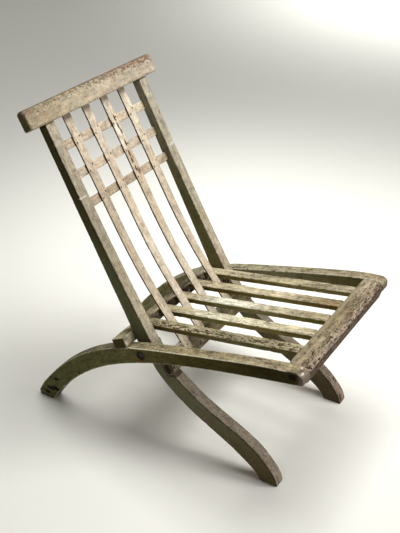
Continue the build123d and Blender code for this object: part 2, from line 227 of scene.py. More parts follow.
# %% Wear a board
def wear(board, axis, voxel, rubbed, chips, seed):
    """Rub and chip the arrises of a board and dent its faces; store what its paint reads."""
    mesh = board.data
    points = point_values(mesh.vertices, "co")
    normals = point_values(mesh.vertices, "normal")
    smooth = smoothed(mesh)
    sunk = np.einsum("ij,ij->i", points - smooth, normals)
    arris = np.clip(sunk / (SHARP_ARRIS * voxel), 0.0, 1.0)
    grain = grain_places(points, axis)
    grain[:, 0] += seed
    moved = points.copy()
    chipped = np.zeros(len(points))
    for i, place in enumerate(grain):
        rub = uneven(place, RUB_WAVES, (seed, 0.0)) * 0.5 + 0.5
        point = points[i] + (smooth[i] - points[i]) * min(rubbed * (LEAST_RUB + rub), 1.0)
        dent = uneven(place, DENT_WAVES, (0.0, seed)) * DENT_DEPTH
        dent += uneven(place, RIPPLE_WAVES) * RIPPLE_DEPTH
        if arris[i] > CHIPS_FROM_ARRIS:
            spot = uneven(place, CHIP_WAVES, (0.0, seed)) + 0.5 * uneven(place, CHIP_RIM_WAVES)
            spot = max(0.0, spot - CHIPS_FROM_NOISE)
            chipped[i] = min(1.0, spot * arris[i] * chips * CHIP_GROWTH)
            dent -= chipped[i] * CHIP_DEPTH
        moved[i] = point + normals[i] * (min(dent, 0.0) - SANDED_OFF) * MM
    mesh.vertices.foreach_set("co", moved.ravel())
    mesh.attributes.new("arris", "FLOAT", "POINT").data.foreach_set("value", arris)
    mesh.attributes.new("chip", "FLOAT", "POINT").data.foreach_set("value", chipped)
    places = mesh.attributes.new("grain", "FLOAT_VECTOR", "POINT")
    places.data.foreach_set("vector", grain.ravel())
    mesh.update()
    mesh.shade_smooth()


print("a worn board stores", ["arris", "chip", "grain"])

# %% [markdown]
# A worn board takes the place of its CAD node, which is hidden, and rides on the same frame of the
# chair. Each board gets its own seed from its number, so that no two are worn alike and every run
# gives the same chair. The boards are kept by name, each with its long axis, for the cells that
# paint them.

# %% A worn board in the place of its CAD node
SEED_STEP = 3.7
boards = {}


def old_board(name, node, body, axis, voxel, rubbed=0.7, chips=0.5):
    """A CAD board as a worn piece that rides on its frame."""
    board = even_net(name, node, voxel * MM)
    wear(board, axis, voxel * MM, rubbed, chips, seed=SEED_STEP * len(boards))
    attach(board, body)
    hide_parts(node)
    boards[name] = board, axis


print("each board's seed is", SEED_STEP, "more than that of the board before")

# %% [markdown]
# ## The boards of the two frames
# The rails and stiles are thick, so their net is 2 mm; the seat slats and the thin slats and
# laths of the back get a finer one. The front rail and the seat slats are worn most, where
# people sit and slide.

# %% Wear the boards of the seat frame
old_board("worn_side_rail_right", "side_rail_right", "seat_frame", Y, 2.0)
old_board("worn_side_rail_left", "side_rail_left", "seat_frame", Y, 2.0)
old_board("worn_front_rail", "front_rail", "seat_frame", X, 2.0, rubbed=0.9, chips=1.0)
old_board("worn_rear_rail", "rear_rail", "seat_frame", X, 2.0)
for number in range(1, 6):
    old_board(
        f"worn_seat_slat_{number}", f"seat_slat_{number}", "seat_frame",
        Y, 1.8, rubbed=0.8, chips=1.0,
    )
print(len(boards), "boards worn")

# %% Wear the boards of the back frame
old_board("worn_stile_right", "back_stile_right", "back_frame", Z, 2.0, chips=0.25)
old_board("worn_stile_left", "back_stile_left", "back_frame", Z, 2.0, chips=0.25)
old_board("worn_crest_rail", "crest_rail", "back_frame", X, 2.0, chips=0.8)
old_board("worn_lower_rail", "lower_rail", "back_frame", X, 2.0)
for number in range(1, 5):
    old_board(
        f"worn_back_slat_{number}", f"back_slat_{number}", "back_frame", Z, 1.5
    )
for place in ("top", "middle", "bottom"):
    old_board(
        f"worn_lath_{place}", f"lattice_lath_{place}", "back_frame", X, 1.5
    )
faces = sum(len(board.data.polygons) for board, _ in boards.values())
print(faces, "faces in", len(boards), "boards")

# %% [markdown]
# ## Making finishes
# A finish is a material: a net of nodes that works out a colour, a roughness and a bump for every
# point of a piece. It could be drawn by hand in the editor, but twenty boards are painted and
# worn in one way, so short helper functions place the nodes, and each effect that several boards
# share, such as flaked paint, is a node group that is built once.

# %% A node with its inputs
def put(tree, kind, inputs=(), **settings):
    """A shader node with its settings; each input is given a value or joined to a socket."""
    node = tree.nodes.new("ShaderNode" + kind)
    for setting, value in settings.items():
        setattr(node, setting, value)
    for key, value in dict(inputs).items():
        socket = node.inputs[key]
        if isinstance(value, bpy.types.NodeSocket):
            tree.links.new(value, socket)
        elif socket.type == "RGBA":
            socket.default_value = (*value, 1.0)
        else:
            socket.default_value = value
    return node


print("put:", put.__doc__)

# %% [markdown]
# Four small tools do most of the work in every finish: a sum, one colour laid over another, a
# soft step that turns a value into a mask, and a noise that can be stretched along the grain.

# %% Sums, layers, steps and noise
def reckon(tree, operation, *values):
    """The result of one sum."""
    return put(tree, "Math", dict(enumerate(values)), operation=operation).outputs[0]


def lay(tree, amount, below, above, way="MIX"):
    """One colour laid over another by an amount."""
    node = put(tree, "Mix", {0: amount, 6: below, 7: above}, data_type="RGBA", blend_type=way)
    return node.outputs[2]


def rise(tree, value, low, high):
    """A soft step: 0 where a value is at low, 1 where it is at high."""
    inputs = {0: value, 1: low, 2: high}
    return put(tree, "MapRange", inputs, interpolation_type="SMOOTHSTEP").outputs[0]


def mottle(tree, place, scale, detail=3.0, shift=0.0):
    """Noise around 0.5, finer where the scale is larger, each way by its own scale."""
    inputs = {"Vector": place, "Scale": scale, "Location": (shift, shift, shift)}
    stretched = put(tree, "Mapping", inputs).outputs[0]
    return put(tree, "TexNoise", {"Vector": stretched, "Scale": 1.0, "Detail": detail}).outputs[0]


for tool in (reckon, lay, rise, mottle):
    print(tool.__name__ + ":", tool.__doc__)

# %% [markdown]
# An effect is a node group with named inputs and outputs. Its sockets are made first, and the
# nodes between them are placed by the cells that follow. A material then uses the group with
# values of its own.

# %% A node group, and its use
def effect(name, inputs, outputs):
    """An empty node group with named inputs and outputs, and the sockets inside it."""
    group = bpy.data.node_groups.new(name, "ShaderNodeTree")
    for direction, sockets in (("INPUT", inputs), ("OUTPUT", outputs)):
        for socket, kind in sockets.items():
            group.interface.new_socket(socket, in_out=direction, socket_type="NodeSocket" + kind)
    given = group.nodes.new("NodeGroupInput").outputs
    result = group.nodes.new("NodeGroupOutput").inputs
    return group, given, result


def use(tree, group, **inputs):
    """A node group placed in a material."""
    return put(tree, "Group", inputs, node_tree=group).outputs


for tool in (effect, use):
    print(tool.__name__ + ":", tool.__doc__)

# %% [markdown]
# ### Old paint
# Brushed paint that has stood outdoors for years is never one colour. It has broad patches where
# it has faded or yellowed, streaks along the board from the brush and the rain, and fine grime.
# Each is a noise with its own size, made long by a small scale along the grain. The group takes
# one colour and a tint that some patches lean towards.

# %% The group for old paint
old_paint, given, result = effect(
    "old paint",
    {"Grain": "Vector", "Colour": "Color", "Tint": "Color", "Patches": "Float", "Grime": "Float"},
    {"Colour": "Color", "Height": "Float"},
)
broad = mottle(old_paint, given["Grain"], (20.0, 60.0, 60.0))
leaning = mottle(old_paint, given["Grain"], (13.0, 45.0, 45.0), shift=11.0)
streaks = mottle(old_paint, given["Grain"], (7.0, 190.0, 190.0), shift=7.0)
spots = mottle(old_paint, given["Grain"], (48.0, 105.0, 105.0), shift=19.0)
fine = mottle(old_paint, given["Grain"], (130.0, 270.0, 270.0), detail=2.0, shift=3.0)
soft = reckon(old_paint, "ADD", broad, reckon(old_paint, "MULTIPLY", streaks, 0.7))
soft = reckon(old_paint, "SUBTRACT", soft, 0.85)
soft = reckon(old_paint, "MULTIPLY", soft, given["Patches"])
sharp = reckon(old_paint, "SUBTRACT", reckon(old_paint, "ADD", fine, spots), 1.0)
sharp = reckon(old_paint, "MULTIPLY", sharp, given["Grime"])
light = reckon(old_paint, "ADD", reckon(old_paint, "ADD", soft, sharp), 1.0)
tinted = rise(old_paint, leaning, 0.45, 0.68)
colour = lay(old_paint, tinted, given["Colour"], given["Tint"])
grey = put(old_paint, "CombineXYZ", {0: light, 1: light, 2: light}).outputs[0]
colour = lay(old_paint, 1.0, colour, grey, way="MULTIPLY")
old_paint.links.new(colour, result["Colour"])
old_paint.links.new(reckon(old_paint, "ADD", fine, streaks), result["Height"])
print(old_paint.name, len(old_paint.nodes), "nodes")

# %% [markdown]
# ### Flaked paint
# Where paint has let go, the dark old wood shows, in flakes that follow the grain, in fine pits and
# at the chips that the mesh already has. A flake lifts before it falls, so its rim catches the
# light; the group paints that in as a paler rim, a painted highlight. The group gives the new
# colour and a mask of the bare places, which are also rougher.

# %% The group for flaked paint
flaked_paint, given, result = effect(
    "flaked paint",
    {
        "Grain": "Vector", "Colour": "Color", "Under": "Color", "Arris": "Float",
        "Chip": "Float", "Flakes": "Float", "Pits": "Float",
    },
    {"Colour": "Color", "Bare": "Float"},
)
loose = mottle(flaked_paint, given["Grain"], (48.0, 120.0, 120.0), detail=4.0, shift=17.0)
loose = reckon(
    flaked_paint, "ADD", loose, reckon(flaked_paint, "MULTIPLY", given["Arris"], 0.05)
)
limit = reckon(flaked_paint, "MULTIPLY_ADD", given["Flakes"], -0.25, 0.77)
fallen = rise(flaked_paint, reckon(flaked_paint, "SUBTRACT", loose, limit), -0.01, 0.02)
rim = rise(flaked_paint, reckon(flaked_paint, "SUBTRACT", loose, limit), -0.07, 0.0)
pitted = mottle(flaked_paint, given["Grain"], (110.0, 210.0, 210.0), detail=4.0, shift=23.0)
limit = reckon(flaked_paint, "MULTIPLY_ADD", given["Pits"], -0.25, 0.78)
pits = rise(flaked_paint, reckon(flaked_paint, "SUBTRACT", pitted, limit), -0.02, 0.03)
chips = rise(flaked_paint, given["Chip"], 0.25, 0.6)
bare = reckon(flaked_paint, "MAXIMUM", reckon(flaked_paint, "MAXIMUM", fallen, pits), chips)
# The paler rim of a lifting flake is a painted highlight.
pale = lay(flaked_paint, 0.22, given["Colour"], (1.0, 1.0, 0.9))
colour = lay(flaked_paint, reckon(flaked_paint, "MULTIPLY", rim, 0.8), given["Colour"], pale)
colour = lay(flaked_paint, bare, colour, given["Under"])
flaked_paint.links.new(colour, result["Colour"])
flaked_paint.links.new(bare, result["Bare"])
print(flaked_paint.name, len(flaked_paint.nodes), "nodes")

# %% [markdown]
# ### Open grain
# Dry wood opens in short dark lines along the grain. The lines are where a stretched noise
# passes through its middle value, broken up by a broader noise.

# %% The group for open grain
open_grain, given, result = effect(
    "open grain", {"Grain": "Vector", "Amount": "Float"}, {"Mask": "Float"}
)
lines = mottle(open_grain, given["Grain"], (14.0, 170.0, 170.0), detail=3.0, shift=31.0)
lines = reckon(open_grain, "ABSOLUTE", reckon(open_grain, "SUBTRACT", lines, 0.5))
lines = rise(open_grain, lines, 0.035, 0.008)
where = mottle(open_grain, given["Grain"], (26.0, 60.0, 60.0), detail=2.0, shift=41.0)
where = reckon(open_grain, "ADD", where, reckon(open_grain, "MULTIPLY", given["Amount"], 0.25))
where = rise(open_grain, where, 0.62, 0.72)
open_grain.links.new(reckon(open_grain, "MULTIPLY", lines, where), result["Mask"])
print(open_grain.name, len(open_grain.nodes), "nodes")

# %% [markdown]
# ### Rubbed arris
# Hands, knees and other chairs rub the arrises of a board first. The mesh already says how much
# of an arris each point is. Noise along the board breaks the line up, so that it comes and goes.

# %% The group for a rubbed arris
rubbed_arris, given, result = effect(
    "rubbed arris", {"Grain": "Vector", "Arris": "Float", "Amount": "Float"}, {"Mask": "Float"}
)
broken = mottle(rubbed_arris, given["Grain"], (60.0, 60.0, 60.0), detail=4.0, shift=5.0)
broken = reckon(rubbed_arris, "MULTIPLY_ADD", broken, 1.6, -0.8)
edge = reckon(rubbed_arris, "ADD", given["Arris"], broken)
edge = reckon(rubbed_arris, "ADD", edge, given["Amount"])
edge = rise(rubbed_arris, edge, 0.75, 1.1)
rubbed_arris.links.new(edge, result["Mask"])
print(rubbed_arris.name, len(rubbed_arris.nodes), "nodes")

# %% [markdown]
# ### A mark
# Single things have happened to single places: a splash, a knock, a run of rust. Each is an oval
# spot with a ragged rim, at a place on the board. The group says how much a point is inside it.

# %% The group for a mark
mark, given, result = effect(
    "mark",
    {
        "Place": "Vector", "Grain": "Vector", "Centre": "Vector", "Reach": "Vector",
        "Ragged": "Float",
    },
    {"Mask": "Float"},
)
offset = put(mark, "VectorMath", {0: given["Place"], 1: given["Centre"]}, operation="SUBTRACT")
share = put(
    mark, "VectorMath", {0: offset.outputs[0], 1: given["Reach"]}, operation="DIVIDE"
).outputs[0]
distance = put(mark, "VectorMath", {0: share}, operation="LENGTH").outputs["Value"]
rough_rim = mottle(mark, given["Grain"], (130.0, 260.0, 260.0), detail=3.0, shift=53.0)
rough_rim = reckon(mark, "MULTIPLY", reckon(mark, "SUBTRACT", rough_rim, 0.5), given["Ragged"])
distance = reckon(mark, "ADD", distance, rough_rim)
mark.links.new(rise(mark, distance, 1.15, 0.7), result["Mask"])
print(mark.name, len(mark.nodes), "nodes")

# %% [markdown]
# ### The finish of a board
# Every board gets its own material from the same recipe. Its colour changes slowly from one end to
# the other, because some parts were touched or rained on more, and because shade and highlights
# that fall on it are painted into it. Faces that look right or left have colours of their own,
# darker ones that are partly grime and dark paint and partly painted shade. Other directions can
# have theirs too: the normal of a face is compared with the direction, and two limits say how well
# they have to agree.

# %% Colours along a board
def tones(tree, share, colours):
    """Colours that follow one another evenly as a share goes from 0 to 1."""
    ramp = put(tree, "ValToRGB", {0: share})
    stops = ramp.color_ramp.elements
    stops.remove(stops[1])
    for number, colour in enumerate(colours):
        place = (number + 0.5) / len(colours)
        stop = stops.new(place) if number else stops[0]
        stop.position = place
        stop.color = (*colour, 1.0)
    return ramp.outputs[0]


print("tones:", tones.__doc__)

# %% Faces that look in a direction
RIGHTWARDS, LEFTWARDS = (-1.0, 0.0, 0.0), (1.0, 0.0, 0.0)
FORWARDS, BACKWARDS = (0.0, -1.0, 0.0), (0.0, 1.0, 0.0)
UPWARDS, DOWNWARDS = (0.0, 0.0, 1.0), (0.0, 0.0, -1.0)


def facing(tree, direction, low=0.5, high=0.8):
    """A mask of the faces that look in a direction."""
    normal = put(tree, "TexCoord").outputs["Normal"]
    inputs = {0: normal, 1: direction}
    cosine = put(tree, "VectorMath", inputs, operation="DOT_PRODUCT").outputs["Value"]
    return rise(tree, cosine, low, high)


def clean_colours(tree, place, board, axis, fronts, sides, others):
    """The colours of a board before its wear, painted shade included, and a mask of its right and
    left sides.
    """
    reach = point_values(board.data.vertices, "co")[:, axis]
    share = put(tree, "SeparateXYZ", {0: place}).outputs[axis]
    share = put(tree, "MapRange", {0: share, 1: reach.min(), 2: reach.max()}).outputs[0]
    colour = tones(tree, share, fronts)
    side = reckon(tree, "MAXIMUM", facing(tree, RIGHTWARDS), facing(tree, LEFTWARDS))
    colour = lay(tree, side, colour, tones(tree, share, sides))
    for direction, colours, *limits in others:
        colour = lay(tree, facing(tree, direction, *limits), colour, tones(tree, share, colours))
    return colour, side


print("the front of the chair faces", FORWARDS)

# %% [markdown]
# Some wear keeps to one part of a board: the nose of the front rail, the feet, the upper edge of
# the crest rail. Such a part is everything beyond a height, measured in some direction, and noise
# moves the height up and down to make the limit ragged. The same idea gives three things here: a
# band of another colour, the part where the paint flakes worst, and, with ovals in place of a
# height, the single marks.

# %% Bands, the worst part and marks
SIDES_SPARED = 0.75
LEAST_WORN = 0.4


def beyond(tree, place, grain, direction, ragged, low, high):
    """A mask of what lies further in a direction than a ragged limit between two heights."""
    inputs = {0: place, 1: direction}
    height = put(tree, "VectorMath", inputs, operation="DOT_PRODUCT").outputs["Value"]
    waver = mottle(tree, grain, (70.0, 170.0, 170.0), detail=4.0, shift=61.0)
    waver = reckon(tree, "SUBTRACT", waver, 0.5)
    return rise(tree, reckon(tree, "MULTIPLY_ADD", waver, ragged, height), low, high)


def exposure(tree, place, grain, side, worst):
    """How much weather a point has had: little on the sides, most in the worst part."""
    exposed = reckon(tree, "MULTIPLY_ADD", side, -SIDES_SPARED, 1.0)
    if not worst:
        return exposed
    worst_part = beyond(tree, place, grain, *worst)
    worst_part = reckon(tree, "MULTIPLY_ADD", worst_part, 1.0 - LEAST_WORN, LEAST_WORN)
    return reckon(tree, "MULTIPLY", exposed, worst_part)


def with_bands(tree, colour, place, grain, bands):
    """A colour with its bands; each has a ragged limit, a tone and a strength."""
    for *limit, tone, strength in bands:
        inside = beyond(tree, place, grain, *limit)
        colour = lay(tree, reckon(tree, "MULTIPLY", inside, strength), colour, tone)
    return colour


def with_marks(tree, colour, place, grain, marks):
    """A colour with its marks; each has a centre, a size, raggedness, a tone and a strength."""
    for centre, size, ragged, tone, strength in marks:
        inside = use(
            tree, mark, Place=place, Grain=grain, Centre=centre, Reach=size, Ragged=ragged
        )["Mask"]
        colour = lay(tree, reckon(tree, "MULTIPLY", inside, strength), colour, tone)
    return colour


print("the least worn part of a board has", LEAST_WORN, "of the wear of the worst part")

# %% [markdown]
# Now the recipe itself. Over the clean colours go the old paint, the rubbed arrises, the bands,
# the flakes, the open grain and the single marks. Old paint is dull: it hardly reflects, and bare
# wood is rougher still, so only the roughness changes from place to place. What is bare or open
# also lies lower, which the bump shows. A board whose wear is less drawn out along it has its
# grain shortened. Every colour is linear red, green and blue.

# %% The recipe
SIDES_CALM = 0.55
DULL_GLOSS = 0.05
PAINT_ROUGHNESS, BARE_WOOD_ROUGHER = 0.68, 0.2
BUMP_DEPTH = 0.4 * MM


def attribute(tree, name, output):
    """A value or vector that the mesh of a board stores at each point."""
    return put(tree, "Attribute", attribute_name=name).outputs[output]


def painted(
    name, fronts, sides, others=(), tint=(1.04, 0.97, 0.93), under=(0.04, 0.028, 0.015),
    patches=1.3, grime=0.9, shortened=1.0, flakes=0.2, pits=0.2, grain_lines=0.0, worst=None,
    rubbed=(0.5, 0.45, 0.34), rubbing=0.3, bands=(), marks=(),
):
    """The finish of one board: its colours, and how much of each kind of wear it has."""
    board, axis = boards[name]
    material = bpy.data.materials.new(name.replace("worn_", "paint_"))
    material.use_nodes = True
    board.data.materials.append(material)
    tree = material.node_tree
    shader = tree.nodes["Principled BSDF"]
    place = put(tree, "TexCoord").outputs["Object"]
    grain = {"Vector": attribute(tree, "grain", "Vector"), "Scale": (shortened, 1.0, 1.0)}
    grain = put(tree, "Mapping", grain).outputs[0]
    arris, chip = attribute(tree, "arris", "Fac"), attribute(tree, "chip", "Fac")

    colour, side = clean_colours(tree, place, board, axis, fronts, sides, others)
    calm = reckon(tree, "MULTIPLY_ADD", side, -SIDES_CALM, 1.0)
    exposed = exposure(tree, place, grain, side, worst)
    paint = use(
        tree, old_paint, Grain=grain, Colour=colour,
        Tint=lay(tree, 1.0, colour, tint, way="MULTIPLY"),
        Patches=reckon(tree, "MULTIPLY", calm, patches),
        Grime=reckon(tree, "MULTIPLY", calm, grime),
    )
    colour = paint["Colour"]
    rub = use(tree, rubbed_arris, Grain=grain, Arris=arris, Amount=rubbing)["Mask"]
    colour = lay(tree, rub, colour, lay(tree, 0.6, colour, rubbed))
    colour = with_bands(tree, colour, place, grain, bands)
    flaked = use(
        tree, flaked_paint, Grain=grain, Colour=colour, Under=under, Arris=arris, Chip=chip,
        Flakes=reckon(tree, "MULTIPLY", exposed, flakes),
        Pits=reckon(tree, "MULTIPLY", exposed, pits),
    )
    opened = reckon(tree, "MULTIPLY", exposed, grain_lines)
    opened = use(tree, open_grain, Grain=grain, Amount=opened)["Mask"]
    colour = lay(tree, opened, flaked["Colour"], under)
    colour = with_marks(tree, colour, place, grain, marks)
    tree.links.new(colour, shader.inputs["Base Color"])

    bare = flaked["Bare"]
    roughness = reckon(tree, "MULTIPLY_ADD", bare, BARE_WOOD_ROUGHER, PAINT_ROUGHNESS)
    tree.links.new(roughness, shader.inputs["Roughness"])
    shader.inputs["Specular IOR Level"].default_value = DULL_GLOSS
    height = reckon(tree, "MULTIPLY_ADD", bare, -1.2, paint["Height"])
    height = reckon(tree, "MULTIPLY_ADD", opened, -1.5, height)
    bump = put(tree, "Bump", {"Height": height, "Strength": 0.7, "Distance": BUMP_DEPTH})
    tree.links.new(bump.outputs[0], shader.inputs["Normal"])


print("painted:", painted.__doc__)

# %% [markdown]
# ## The two frames, board by board
# The rails of the seat are olive and brown, with a yellower top; their dark sides are partly
# painted shade. Their arrises are rubbed to a pale cream. Colours go from the low end of the
# board's long axis to the high end: on a side rail from the nose to the rear foot. A band is a
# direction, how ragged its limit is, the two heights between which it sets in, its colour and its
# strength; one such band makes the lowest few millimetres of the right foot nearly black. The faces
# that look down and forward under the right rail are painted shade, darkest at the rear foot.
#
# The right rail has had its own accidents. The foot was knocked until black wood showed, the nose
# has chips of brown and cream, and a run of rust hangs below a dark patch round the bolt.
# Each mark is a centre, a size each way, how ragged it is, its colour and its strength. Most lie
# on the outer face of the rail, and the bolt says where its own marks are. The left rail only has
# two pale scratches inside.

# %% Marks of the right side rail
outer_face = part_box("side_rail_right")[0][X]
bolt_low, bolt_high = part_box("pivot_bolts")
bolt_y, bolt_z = (bolt_low[Y] + bolt_high[Y]) / 2, (bolt_low[Z] + bolt_high[Z]) / 2
bolt_marks = [
    (
        (outer_face, bolt_y, bolt_z - 0.001),
        (0.02, 0.0145, 0.0155), 0.3, (0.02, 0.013, 0.007), 0.95,
    ),
    (
        (outer_face, bolt_y + 0.005, bolt_z - 0.018),
        (0.006, 0.009, 0.006), 0.8, (0.2, 0.075, 0.02), 0.85,
    ),
    (
        (outer_face, bolt_y - 0.01, bolt_z - 0.0105),
        (0.006, 0.004, 0.004), 0.8, (0.2, 0.07, 0.02), 0.7,
    ),
]
foot_knocks = [
    ((outer_face, y, z), (0.006, size, 0.5 * size), 2.2, (0.004, 0.003, 0.001), 0.97)
    for y, z, size in (
        (0.352, 0.044, 0.015), (0.346, 0.0815, 0.011), (0.370, 0.038, 0.014),
        (0.385, 0.020, 0.012), (0.254, 0.143, 0.005),
    )
]
nose_chips = [
    ((outer_face, -0.388, 0.417), (0.0045, 0.018, 0.006), 0.6, (0.02, 0.014, 0.006), 0.9),
    ((outer_face, -0.389, 0.405), (0.005, 0.012, 0.008), 1.5, (0.006, 0.003, 0.001), 0.85),
    ((-0.233, -0.403, 0.418), (0.007, 0.005, 0.006), 1.0, (0.09, 0.06, 0.055), 0.8),
    ((-0.2385, -0.4095, 0.4165), (0.006, 0.003, 0.004), 2.2, (0.66, 0.62, 0.55), 0.9),
    ((-0.222, -0.399, 0.418), (0.004, 0.003, 0.005), 1.8, (0.68, 0.58, 0.48), 0.8),
]
print(len(bolt_marks) + len(nose_chips) + len(foot_knocks), "marks on the right side rail")

# %% Side rails
TOP_RIGHT_ARRIS = (-0.66, 0.0, 0.75)
UNDER_THE_LEG = (0.0, -0.6, -0.8)

painted(
    "worn_side_rail_right",
    [(0.252, 0.209, 0.128), (0.243, 0.202, 0.111), (0.209, 0.182, 0.106), (0.20, 0.18, 0.11)],
    [(0.036, 0.03, 0.006), (0.089, 0.072, 0.017), (0.131, 0.125, 0.05), (0.12, 0.119, 0.044)],
    others=[
        (TOP_RIGHT_ARRIS, [
            (0.33, 0.28, 0.2), (0.68, 0.63, 0.46), (0.55, 0.49, 0.34), (0.3, 0.27, 0.18),
        ], 0.84, 0.94),
        # Painted shade on the faces under the leg, darkest at the rear foot.
        (UNDER_THE_LEG, [(0.07, 0.06, 0.033), (0.07, 0.06, 0.033), (0.015, 0.012, 0.005)]),
    ],
    tint=(1.02, 1.0, 0.94), patches=2.0, grime=2.1, shortened=1.5, pits=0.15,
    rubbed=(0.62, 0.56, 0.4), rubbing=0.45,
    bands=[
        (FORWARDS, 0.012, 0.399, 0.411, (0.215, 0.162, 0.13), 0.8),
        (DOWNWARDS, 0.006, -0.007, -0.003, (0.02, 0.016, 0.008), 0.9),
    ],
    marks=[*bolt_marks, *nose_chips, *foot_knocks],
)
painted(
    "worn_side_rail_left",
    [(0.225, 0.186, 0.118), (0.238, 0.212, 0.138), (0.25, 0.227, 0.14), (0.23, 0.21, 0.13)],
    [(0.118, 0.105, 0.038), (0.21, 0.2, 0.11), (0.22, 0.19, 0.09), (0.22, 0.2, 0.1)],
    tint=(1.02, 1.0, 0.94), patches=1.8, grime=2.0, shortened=1.5, pits=0.2,
    rubbed=(0.6, 0.54, 0.4), rubbing=0.4,
    marks=[
        ((0.2145, y, 0.370), (0.012, 0.012, 0.004), 1.8, (0.62, 0.6, 0.52), 0.75)
        for y in (-0.112, -0.134)
    ],
)
print("side rails painted")

# %% [markdown]
# The front rail is gripped and leaned on most. Its nose is worn to brown wood and its upper face
# has opened in dark lines and pits, except for a strip beside the slats that kept its paint. The
# rear rail is pale at its ends and dark in the middle of its front and its top: that darkness is
# mostly painted shade and painted shadow from the back above it, with some dirt.

# %% Front and rear rails
DARK_WOOD = (0.045, 0.031, 0.017)
UPPER_NOSE = (0.0, -0.7, 0.71)

painted(
    "worn_front_rail",
    [(0.108, 0.07, 0.046), (0.134, 0.091, 0.066), (0.104, 0.069, 0.046), (0.12, 0.077, 0.052)],
    [(0.15, 0.115, 0.08)],
    others=[
        (UPWARDS, [
            (0.26, 0.21, 0.132), (0.215, 0.177, 0.108), (0.2, 0.156, 0.089), (0.3, 0.248, 0.168),
        ]),
        (UPPER_NOSE, [(0.34, 0.27, 0.2), (0.26, 0.2, 0.145)], 0.92, 0.98),
    ],
    tint=(1.0, 0.96, 0.95), under=(0.075, 0.045, 0.024), patches=1.7, grime=1.8, flakes=0.6,
    pits=0.75, grain_lines=1.0, worst=(FORWARDS, 0.03, 0.376, 0.398),
    rubbed=(0.55, 0.48, 0.38), rubbing=0.1,
    bands=[(BACKWARDS, 0.01, -0.376, -0.370, (0.25, 0.215, 0.13), 0.6)],
)
painted(
    "worn_rear_rail",
    # The dark middle of the front is painted shade of the back and the seat slats, with some dirt.
    [
        (0.334, 0.284, 0.195), (0.2, 0.165, 0.11), (0.09, 0.07, 0.045), (0.045, 0.032, 0.02),
        (0.045, 0.032, 0.02), (0.055, 0.04, 0.024), (0.15, 0.12, 0.08), (0.3, 0.25, 0.17),
    ],
    [(0.06, 0.05, 0.014)],
    others=[
        # The dark middle of the top is painted shadow cast by the stiles and slats of the back.
        (UPWARDS, [
            (0.43, 0.38, 0.226), (0.25, 0.21, 0.135), (0.08, 0.065, 0.038), (0.4, 0.36, 0.25),
        ]),
    ],
    under=DARK_WOOD, patches=1.8, grime=1.7, flakes=0.3, pits=0.45,
)
print("front and rear rails painted")

# %% [markdown]
# The seat slats have kept yellowish cream paint on top and dark olive grime on their sides; the
# dark sides are also partly painted shade. Part-way along, the tops of the middle slats are
# brighter than their cream paint, which is a painted highlight of the lamp above. The first slat,
# nearest to the sitter's right, has crazed, so it has far more flakes and pits, most of them along
# its right-hand edge. The table holds the tops, the sides and the wear of each.

# %% Seat slats
# The bright middle stops of the tops of slats 2, 3 and 4 are a painted highlight of the lamp above.
SEAT_SLATS = {
    1: (
        [(0.31, 0.265, 0.16), (0.29, 0.252, 0.157), (0.33, 0.286, 0.18), (0.28, 0.238, 0.14)],
        [(0.192, 0.164, 0.062), (0.26, 0.229, 0.106), (0.2, 0.161, 0.051), (0.155, 0.112, 0.035)],
        {
            "pits": 1.05, "flakes": 0.6, "grain_lines": 0.9, "under": (0.06, 0.042, 0.019),
            "worst": (RIGHTWARDS, 0.03, 0.135, 0.155),
        },
    ),
    2: (
        [(0.44, 0.385, 0.25), (0.57, 0.525, 0.36), (0.6, 0.56, 0.41), (0.35, 0.295, 0.177)],
        [(0.185, 0.151, 0.045), (0.273, 0.215, 0.075), (0.22, 0.205, 0.073), (0.073, 0.045, 0.008)],
        {"pits": 0.25, "flakes": 0.15, "grain_lines": 0.3},
    ),
    3: (
        [(0.3, 0.25, 0.15), (0.48, 0.43, 0.3), (0.62, 0.6, 0.49), (0.42, 0.35, 0.22)],
        [(0.166, 0.137, 0.033), (0.288, 0.238, 0.105), (0.22, 0.205, 0.077), (0.11, 0.073, 0.012)],
        {"pits": 0.4, "flakes": 0.2, "grain_lines": 0.4},
    ),
    4: (
        [(0.22, 0.167, 0.087), (0.51, 0.44, 0.295), (0.42, 0.365, 0.24), (0.33, 0.273, 0.177)],
        [(0.162, 0.105, 0.026), (0.242, 0.21, 0.067), (0.183, 0.14, 0.04), (0.099, 0.064, 0.012)],
        {"pits": 0.35, "flakes": 0.2, "grain_lines": 0.35},
    ),
    5: (
        [(0.31, 0.267, 0.18), (0.31, 0.27, 0.165), (0.31, 0.27, 0.17), (0.45, 0.39, 0.245)],
        [(0.218, 0.177, 0.063), (0.23, 0.196, 0.08), (0.189, 0.144, 0.044), (0.144, 0.109, 0.03)],
        {"pits": 0.4, "flakes": 0.25, "grain_lines": 0.4},
    ),
}
for number, (tops, sides, habits) in SEAT_SLATS.items():
    painted(
        f"worn_seat_slat_{number}", tops, sides,
        others=[(DOWNWARDS, [(0.2, 0.17, 0.1)])], tint=(0.98, 0.98, 0.96), patches=1.3,
        grime=1.7, rubbed=(0.62, 0.58, 0.42), rubbing=0.15,
        **{"under": (0.11, 0.075, 0.035), **habits},
    )
print("seat slats painted")

# %% [markdown]
# ### The back frame
# The stiles have kept a thin coat, grey-green with a little pink, over dark olive sides, whose
# darkness is partly painted shade. Their arrises are rubbed through to dark wood, and the paint has
# flaked most at the feet. A short cream line crosses each stile, as if something had been tied
# there, and just below the lower rail the right stile has a dark patch of painted shadow cast by
# that rail.

# %% Stiles
FEET = (DOWNWARDS, 0.05, -0.24, -0.08)

